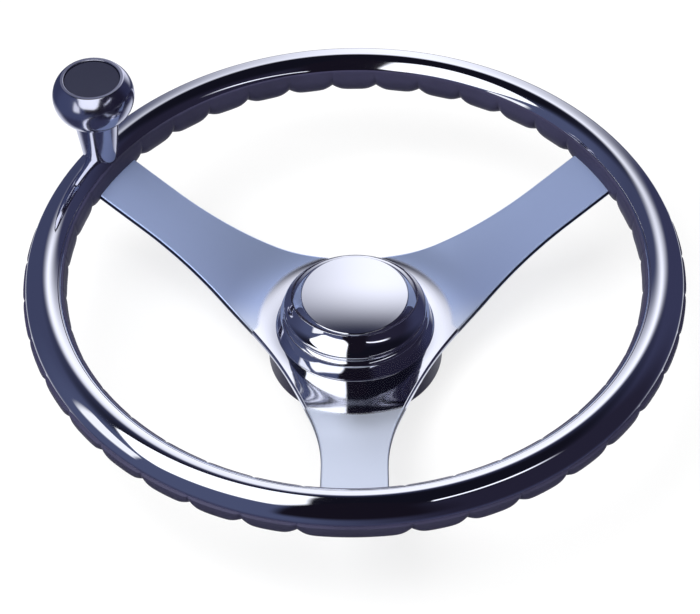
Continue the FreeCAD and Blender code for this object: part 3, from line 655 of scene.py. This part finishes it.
def newGroup(name, inputs, outputs):
    group = bpy.data.node_groups.new(name, "ShaderNodeTree")
    for label, value in inputs:
        socket = group.interface.new_socket(label, in_out="INPUT", socket_type="NodeSocketFloat")
        socket.default_value = value
    for label in outputs:
        group.interface.new_socket(label, in_out="OUTPUT", socket_type="NodeSocketFloat")
    return group, group.nodes.new("NodeGroupInput"), group.nodes.new("NodeGroupOutput")


def useGroup(tree, group, **values):
    node = tree.nodes.new("ShaderNodeGroup")
    node.node_tree = group
    for label, value in values.items():
        node.inputs[label].default_value = value
    return node


def buildPolishGroup():
    # Faint haze and buffing marks of polished metal.
    group, given, made = newGroup("polishHaze", [("Roughness", 0.05), ("Haze", 0.02), ("Scale", 60.0)],
                                  ["Roughness", "Height"])
    place = addNode(group, "ShaderNodeTexCoord")
    cloud = addNode(group, "ShaderNodeTexNoise")
    cloud.inputs["Detail"].default_value = 4
    group.links.new(place.outputs["Object"], cloud.inputs["Vector"])
    group.links.new(given.outputs["Scale"], cloud.inputs["Scale"])
    haze = mathNode(group, "MULTIPLY", cloud.outputs["Fac"], given.outputs["Haze"])
    group.links.new(mathNode(group, "ADD", haze, given.outputs["Roughness"]), made.inputs["Roughness"])
    group.links.new(cloud.outputs["Fac"], made.inputs["Height"])
    return group


def buildGrainGroup():
    # Fine pebbled grain of moulded plastic or rubber, with broad soft patches.
    group, given, made = newGroup("mouldedGrain", [("Scale", 1500.0), ("Patch Scale", 40.0)],
                                  ["Height", "Patches"])
    place = addNode(group, "ShaderNodeTexCoord")
    fine = addNode(group, "ShaderNodeTexNoise")
    fine.inputs["Detail"].default_value = 2
    broad = addNode(group, "ShaderNodeTexNoise")
    for noise, scale, result in ((fine, "Scale", "Height"), (broad, "Patch Scale", "Patches")):
        group.links.new(place.outputs["Object"], noise.inputs["Vector"])
        group.links.new(given.outputs[scale], noise.inputs["Scale"])
        group.links.new(noise.outputs["Fac"], made.inputs[result])
    return group


polishGroup = buildPolishGroup()
grainGroup = buildGrainGroup()

# Finishes of the metal pieces and the mouldings, by the record's slots. The knob and its neck show
# knob_steel_shaded, a slightly softer polish with a darker tint that is painted shade, in the slot
# polished_steel.
metals = {
    "polished_steel": {"name": "mirrorStainless", "tint": (241, 242, 248), "roughness": 0.035, "haze": 0.02,
                       "scale": 90.0, "bump": 0.02},
    "knob_steel_shaded": {"name": "knobStainlessShaded", "tint": (205, 206, 222), "roughness": 0.14, "haze": 0.04,
                   "scale": 90.0, "bump": 0.02},
    "turned_steel": {"name": "turnedStainless", "tint": (205, 206, 212), "roughness": 0.22, "haze": 0.08,
                     "scale": 700.0, "bump": 0.05},
}
mouldings = {
    "grip_rubber": {"name": "gripMoulding", "dark": (42, 40, 64), "light": (54, 52, 80),
                    "roughness": 0.5, "bump": 0.25},
    "drum_plastic": {"name": "drumMoulding", "dark": (42, 39, 58), "light": (52, 49, 70),
                     "roughness": 0.45, "bump": 0.2},
    "insert_plastic": {"name": "insertDisc", "dark": (31, 32, 50), "light": (38, 40, 58),
                       "roughness": 0.42, "bump": 0.15},
    "bush_plastic": {"name": "bushAcetal", "dark": (222, 220, 210), "light": (232, 230, 220),
                     "roughness": 0.4, "bump": 0.1},
    "core_plastic": {"name": "coreMoulding", "dark": (60, 60, 68), "light": (70, 70, 78),
                     "roughness": 0.5, "bump": 0.1},
}
bumpDepth = 0.1 * mm


def addBump(tree, shader, height, strength):
    bump = addNode(tree, "ShaderNodeBump")
    bump.inputs["Strength"].default_value = strength
    bump.inputs["Distance"].default_value = bumpDepth
    tree.links.new(height, bump.inputs["Height"])
    tree.links.new(bump.outputs["Normal"], shader.inputs["Normal"])


def buildMetal(name, tint, roughness, haze, scale, bump):
    material, tree, shader = newMaterial(name)
    shader.inputs["Base Color"].default_value = colour(*tint)
    shader.inputs["Metallic"].default_value = 1.0
    effect = useGroup(tree, polishGroup, Roughness=roughness, Haze=haze, Scale=scale)
    tree.links.new(effect.outputs["Roughness"], shader.inputs["Roughness"])
    addBump(tree, shader, effect.outputs["Height"], bump)
    return material


def buildMoulding(name, dark, light, roughness, bump):
    # Plastic or rubber whose colour wanders a little between two close tones.
    material, tree, shader = newMaterial(name)
    effect = useGroup(tree, grainGroup)
    tone = mixNode(tree, "RGBA", effect.outputs["Patches"], colour(*dark), colour(*light))
    tree.links.new(tone, shader.inputs["Base Color"])
    shader.inputs["Roughness"].default_value = roughness
    addBump(tree, shader, effect.outputs["Height"], bump)
    return material


# The sheet is bright inside a circle round the hub, and satin on the arms.
satin = {
    "tint": (191, 209, 252),
    # The near arm's paler tint is painted light.
    "nearLitTint": (232, 240, 255),                    # the near arm, paler than the two far ones
    "palerTo": -14.0, "deeperFrom": 20.0,           # where that changes, along Y
    # The cut sides' darker tint is painted shade.
    "cutShadeTint": (44, 47, 72),
    "cutBelow": 0.4, "faceAbove": 0.75,             # by how far a face looks up or down
    "roughness": 0.42, "spread": 0.03, "grainScale": 900.0,
    "smooth": 0.69,                                 # share of the roughness left close to the bend
    "smoothTo": 58.0, "roughFrom": 120.0,
    "bright": 0.05,                                 # roughness of the bright part
    "polishedTo": 66.5, "satinFrom": 69.5,
    "upperFrom": -20.0, "upperTo": 0.0,             # along Y, to the two far arms
    "upperShift": 16.0,                             # whose satin starts this much nearer to the boss
    "sheen": 0.77,                                  # how metallic the satin is
}


def buildSatinSteel():
    # A fine random grain over a soft, slightly blue metal.
    material, tree, shader = newMaterial("satinStainless")
    effect = useGroup(tree, polishGroup, Roughness=satin["roughness"], Haze=satin["spread"],
                      Scale=satin["grainScale"])
    place = splitVector(tree, addNode(tree, "ShaderNodeTexCoord").outputs["Object"])
    across = addNode(tree, "ShaderNodeCombineXYZ")
    for axis in "XY":
        tree.links.new(place[axis], across.inputs[axis])
    length = addNode(tree, "ShaderNodeVectorMath", operation="LENGTH")
    tree.links.new(across.outputs[0], length.inputs[0])
    radius = length.outputs["Value"]

    nearer = rampNode(tree, place["Y"], satin["upperFrom"] * mm, satin["upperTo"] * mm,
                      end=satin["upperShift"] * mm)
    toSatin = rampNode(tree, mathNode(tree, "ADD", radius, nearer), satin["polishedTo"] * mm,
                       satin["satinFrom"] * mm)
    # Close to the bend the satin is worn smoother.
    worn = rampNode(tree, radius, satin["smoothTo"] * mm, satin["roughFrom"] * mm, start=satin["smooth"])
    rough = mathNode(tree, "MULTIPLY", effect.outputs["Roughness"], worn)
    tree.links.new(mixNode(tree, "FLOAT", toSatin, satin["bright"], rough), shader.inputs["Roughness"])
    # The satin finish scatters light, so it is a little less metallic than the bright part.
    metallic = rampNode(tree, toSatin, 0.0, 1.0, start=1.0, end=satin["sheen"], curve="LINEAR")
    tree.links.new(metallic, shader.inputs["Metallic"])

    # Painted light: the near arm is painted paler than the two far ones, which keep the steel's own tint.
    outOfNearLight = rampNode(tree, place["Y"], satin["palerTo"] * mm, satin["deeperFrom"] * mm)
    armTintLitAndShaded = mixNode(tree, "RGBA", outOfNearLight, colour(*satin["nearLitTint"]), colour(*satin["tint"]))
    # The arms' cut sides are painted darker than their faces, as painted shade.
    upward = splitVector(tree, addNode(tree, "ShaderNodeNewGeometry").outputs["Normal"])["Z"]
    outOfCutShade = rampNode(tree, mathNode(tree, "ABSOLUTE", upward), satin["cutBelow"], satin["faceAbove"])
    armTintLitAndShaded = mixNode(tree, "RGBA", outOfCutShade, colour(*satin["cutShadeTint"]), armTintLitAndShaded)
    tint = mixNode(tree, "RGBA", toSatin, colour(*metals["polished_steel"]["tint"]), armTintLitAndShaded)
    tree.links.new(tint, shader.inputs["Base Color"])
    return material


materials = {slot: buildMetal(**finish) for slot, finish in metals.items()}
materials.update({slot: buildMoulding(**finish) for slot, finish in mouldings.items()})
materials["satin_steel"] = buildSatinSteel()
print("materials made:", len(materials))


def dress(piece, body, node, slot, finish=None):
    # Put a modelled piece in the place of its CAD node.
    piece.data.materials.append(materials[finish or slot])
    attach(piece, body)
    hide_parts(node)
    return piece


dress(buildRimTube(), "root", "rim_tube", "polished_steel")
dress(buildRimGrip(), "root", "rim_grip", "grip_rubber")
dress(buildSpokeSheet(), "root", "spoke_spider", "satin_steel")
dress(buildCentreCap(), "root", "centre_cap", "polished_steel")
dress(buildDrum(), "root", "hub_shroud", "drum_plastic")
dress(buildNeck(), "root", "knob_pedestal", "polished_steel", "knob_steel_shaded")
dress(buildKnobShell(), "knob", "knob_shell", "polished_steel", "knob_steel_shaded")
dress(buildKnobInsert(), "knob", "knob_insert", "insert_plastic")
print("pieces made")

# Every other node keeps its CAD shape and takes its material from the record's slot.
slots = {entry["node"]: entry["material_slot"] for entry in frame["record"]["subparts"]}
for name, node in nodes.items():
    for index in range(max(1, len(node.material_slots))):
        if not node.material_slots:
            node.data.materials.append(materials[slots[name]])
        node.material_slots[index].material = materials[slots[name]]


# Studio: a pale floor, soft lamps, and a tent that only reflections see

studio = {
    "centre": (0, 0, 60),
    "tentRadius": 3000,
    "tentRings": 24,
    "tentSegments": 48,
    "floorSize": 6000,
    "floorHeight": 0,
    "floorTone": 0.9,
    "floorGlow": 0.7,                # share of plain white in the floor for the rays that show it
    "fill": 0.6,                     # the world's level on the object
}

# The tent's tones by direction: each pair says between which parts of X, Y or Z one tone turns to the other.
tent = {
    "backLeft": (64, 69, 98),
    "backRight": (56, 58, 86),
    "frontLeft": (76, 83, 114),
    "frontRight": (37, 35, 53),
    "overhead": (18, 18, 29),
    "below": (236, 239, 250),
    "belowFront": (62, 64, 90),
    "flag": (22, 19, 30),            # a black flag on the camera's side, right beside the key card
    "toRight": (-0.5, 0.5),
    "toBack": (0.0, 0.5),
    "fromBelow": (-0.7, -0.45),
    "toOverhead": (0.66, 0.9),
    "toFlag": (-0.3, 0.1),
    "flagLeft": (245, 250),          # the azimuth where it fades out, and where it is full
    "flagRight": (304, 286),
}

# Cards stand close to the wheel, as the photograph's own lights did, and only reflections see them.
# Corners run round the card in millimetres, from where its left and low edges meet. Soft is the share of the
# card that its low, right, high and left edges fade over, and round the share that its corners are rounded by.
cards = [
    {"name": "backdropCard", "colour": (240, 242, 252), "level": 1.4,
     "corners": [(-330, 560, -120), (460, 560, -120), (460, 560, 820), (-330, 560, 820)],
     "soft": (0.12, 0.62, 0.26, 0.55), "round": 0.0},
    {"name": "keyCard", "colour": (248, 250, 255), "level": 1.4,
     "corners": [(-335, -235, 190), (-45, -277, 180), (-25, 100, 480), (-335, 40, 480)],
     "soft": (0.03, 0.03, 0.04, 0.06), "round": 0.34},
    {"name": "wallCard", "colour": (246, 248, 255), "level": 1.1,
     "corners": [(-330, -235, 60), (-330, -85, 70), (-335, -60, 260), (-335, -235, 190)],
     "soft": (0.2, 0.2, 0.05, 0.1), "round": 0.3},
    {"name": "rightCard", "colour": (236, 238, 250), "level": 1.6,
     "corners": [(88, -262, 228), (460, -200, 440), (460, -170, 545), (88, -247, 260)],
     "soft": (0.25, 0.6, 0.3, 0.02), "round": 0.0},
]

lamps = [
    {"name": "keyLamp", "azimuth": 200, "elevation": 60, "distance": 1600, "size": 1200, "power": 26},
    {"name": "fillLamp", "azimuth": 320, "elevation": 55, "distance": 1600, "size": 1000, "power": 8},
]


def stageMesh(name, points, faces):
    mesh = bpy.data.meshes.new(name)
    mesh.from_pydata([tuple(Vector(point) * mm) for point in points], [], faces)
    piece = bpy.data.objects.new(name, mesh)
    scene.collection.objects.link(piece)
    return piece


def onlyReflected(piece):
    for ray in ("visible_camera", "visible_diffuse", "visible_shadow", "visible_transmission",
                "visible_volume_scatter"):
        setattr(piece, ray, False)


def direction(azimuth, elevation):
    return Vector((math.cos(elevation) * math.cos(azimuth), math.cos(elevation) * math.sin(azimuth),
                   math.sin(elevation)))


def buildCardGroup():
    # How far a spot on a card lies inside its four soft edges and rounded corners, from 0 to 1.
    group, given, made = newGroup("cardEdges", [
        ("Low", 0.05), ("Right", 0.05), ("High", 0.05), ("Left", 0.05), ("Round", 0.0)], ["Mask"])
    place = splitVector(group, addNode(group, "ShaderNodeUVMap").outputs["UV"])
    straight = mathNode(group, "SUBTRACT", 0.5, given.outputs["Round"])
    mask, squares = 1.0, []
    for along, start, end in ((place["X"], "Left", "Right"), (place["Y"], "Low", "High")):
        fromMiddle = mathNode(group, "ABSOLUTE", mathNode(group, "SUBTRACT", along, 0.5))
        past = mathNode(group, "MAXIMUM", mathNode(group, "SUBTRACT", fromMiddle, straight), 0.0)
        squares.append(mathNode(group, "MULTIPLY", past, past))
        for fromEdge, edge in ((along, start), (mathNode(group, "SUBTRACT", 1.0, along), end)):
            mask = mathNode(group, "MULTIPLY", mask, rampNode(group, fromEdge, 0.0, given.outputs[edge]))
    # An arc cuts the corners, with an edge as soft as a twentieth of the card.
    corner = mathNode(group, "SQRT", mathNode(group, "ADD", *squares))
    inside = rampNode(group, mathNode(group, "SUBTRACT", given.outputs["Round"], corner), -0.05, 0.0)
    group.links.new(mathNode(group, "MULTIPLY", mask, inside), made.inputs["Mask"])
    return group


def buildCard(card, cardGroup):
    piece = stageMesh(card["name"], card["corners"], [(0, 1, 2, 3)])
    edgeMap = piece.data.uv_layers.new(name="UVMap")
    for spot, uv in zip(edgeMap.data, ((0, 0), (1, 0), (1, 1), (0, 1))):
        spot.uv = uv
    onlyReflected(piece)
    material, tree, surface = emptyMaterial(card["name"])
    low, right, high, left = card["soft"]
    edges = useGroup(tree, cardGroup, Low=low, Right=right, High=high, Left=left, Round=card["round"])
    light = addNode(tree, "ShaderNodeEmission")
    light.inputs["Color"].default_value = colour(*card["colour"])
    light.inputs["Strength"].default_value = card["level"]
    clear = addNode(tree, "ShaderNodeBsdfTransparent")
    tree.links.new(mixShaders(tree, edges.outputs["Mask"], clear.outputs[0], light.outputs[0]), surface)
    piece.data.materials.append(material)
    return piece


def buildTent():
    rings, segments = studio["tentRings"], studio["tentSegments"]
    points = []
    for ring in range(rings + 1):
        for segment in range(segments):
            place = direction(2 * math.pi * segment / segments, math.pi * ring / rings - math.pi / 2)
            points.append(place * studio["tentRadius"])
    piece = stageMesh("studioTent", points, gridFaces(rings + 1, segments, closedColumns=True))
    piece.location = Vector(studio["centre"]) * mm
    onlyReflected(piece)

    material, tree, surface = emptyMaterial("studioTent")
    unit = addNode(tree, "ShaderNodeVectorMath", operation="NORMALIZE")
    tree.links.new(addNode(tree, "ShaderNodeTexCoord").outputs["Object"], unit.inputs[0])
    parts = splitVector(tree, unit.outputs[0])

    def change(axis, key, first, second):
        factor = rampNode(tree, parts[axis], *tent[key])
        return mixNode(tree, "RGBA", factor, first, second)

    def tone(key):
        return colour(*tent[key])

    back = change("X", "toRight", tone("backLeft"), tone("backRight"))
    front = change("X", "toRight", tone("frontLeft"), tone("frontRight"))
    around = change("Y", "toBack", front, back)
    low = change("Y", "toBack", tone("belowFront"), tone("below"))
    shade = change("Z", "fromBelow", low, around)
    shade = change("Z", "toOverhead", shade, tone("overhead"))
    # The flag's place round the wheel is an azimuth, so its sides stay upright.
    turnBack = mathNode(tree, "ARCTAN2", mathNode(tree, "MULTIPLY", parts["Y"], -1.0),
                        mathNode(tree, "MULTIPLY", parts["X"], -1.0))
    mask = rampNode(tree, parts["Z"], *tent["toFlag"])
    for key in ("flagLeft", "flagRight"):
        faded, full = (math.radians(angle - 180) for angle in tent[key])
        start, end = (0.0, 1.0) if faded < full else (1.0, 0.0)
        side = rampNode(tree, turnBack, min(faded, full), max(faded, full), start, end)
        mask = mathNode(tree, "MULTIPLY", mask, side)
    shade = mixNode(tree, "RGBA", mask, shade, tone("flag"))
    light = addNode(tree, "ShaderNodeEmission")
    tree.links.new(shade, light.inputs["Color"])
    tree.links.new(light.outputs[0], surface)
    piece.data.materials.append(material)
    return piece


def showsBackground(tree):
    # 1 for the rays that show the background: straight from the camera, mirrored or through something clear.
    path = addNode(tree, "ShaderNodeLightPath")
    seen = mathNode(tree, "MAXIMUM", path.outputs["Is Camera Ray"], path.outputs["Is Glossy Ray"])
    return mathNode(tree, "MAXIMUM", seen, path.outputs["Is Transmission Ray"])


def buildFloor():
    half, height = studio["floorSize"] / 2, studio["floorHeight"]
    corners = [(-half, -half, height), (half, -half, height), (half, half, height), (-half, half, height)]
    piece = stageMesh("floor", corners, [(0, 1, 2, 3)])
    piece.visible_glossy = False
    material, tree, surface = emptyMaterial("paleFloor")
    matte = addNode(tree, "ShaderNodeBsdfDiffuse")
    matte.inputs["Color"].default_value = (studio["floorTone"],) * 3 + (1,)
    white = addNode(tree, "ShaderNodeEmission")
    share = mathNode(tree, "MULTIPLY", showsBackground(tree), studio["floorGlow"])
    tree.links.new(mixShaders(tree, share, matte.outputs[0], white.outputs[0]), surface)
    piece.data.materials.append(material)
    return piece


def buildWorld():
    world = bpy.data.worlds.new("studioWorld")
    scene.world = world
    world.use_nodes = True
    tree = world.node_tree
    back = tree.nodes["Background"]
    back.inputs["Color"].default_value = (1, 1, 1, 1)
    level = rampNode(tree, showsBackground(tree), 0.0, 1.0, start=studio["fill"], curve="LINEAR")
    tree.links.new(level, back.inputs["Strength"])


def buildLamp(name, azimuth, elevation, distance, size, power):
    data = bpy.data.lights.new(name, "AREA")
    data.shape = "SQUARE"
    data.size = size * mm
    data.energy = power
    lamp = bpy.data.objects.new(name, data)
    target = Vector(studio["centre"]) * mm
    lamp.location = target + direction(math.radians(azimuth), math.radians(elevation)) * distance * mm
    lamp.rotation_euler = (target - lamp.location).to_track_quat("-Z", "Y").to_euler()
    lamp.visible_glossy = False
    scene.collection.objects.link(lamp)


view = {
    "position": (10.35, -848.46, 930.0),
    "tilt": 46.51,          # degrees below the horizon
    "turn": 0.874,          # the wheel stands turned by this much in the photograph
    "roll": 1.14,
    "focalPixels": 2315,    # focal length in pixels, of a picture that is pixelsWide across
    "pixelsWide": 700,
    "sensor": 36,
    "farClip": 100000,
}


def buildCamera():
    data = bpy.data.cameras.new("camera")
    data.sensor_fit = "HORIZONTAL"
    data.sensor_width = view["sensor"]
    data.lens = view["focalPixels"] / view["pixelsWide"] * view["sensor"]
    data.clip_end = view["farClip"] * mm
    camera = bpy.data.objects.new("camera", data)
    turn, tilt, roll = (math.radians(view[key]) for key in ("turn", "tilt", "roll"))
    forward = Vector((-math.sin(turn) * math.cos(tilt), math.cos(turn) * math.cos(tilt), -math.sin(tilt)))
    right = Vector((math.cos(turn), math.sin(turn), 0))
    up = right.cross(forward)
    imageRight = right * math.cos(roll) - up * math.sin(roll)
    imageUp = right * math.sin(roll) + up * math.cos(roll)
    spin = Matrix((imageRight, imageUp, -forward)).transposed().to_4x4()
    camera.matrix_world = Matrix.Translation(Vector(view["position"]) * mm) @ spin
    scene.collection.objects.link(camera)
    scene.camera = camera


buildTent()
cardGroup = buildCardGroup()
for card in cards:
    buildCard(card, cardGroup)
buildFloor()
buildWorld()
for lamp in lamps:
    buildLamp(**lamp)
buildCamera()
scene.view_settings.view_transform = "Standard"
print("studio made")
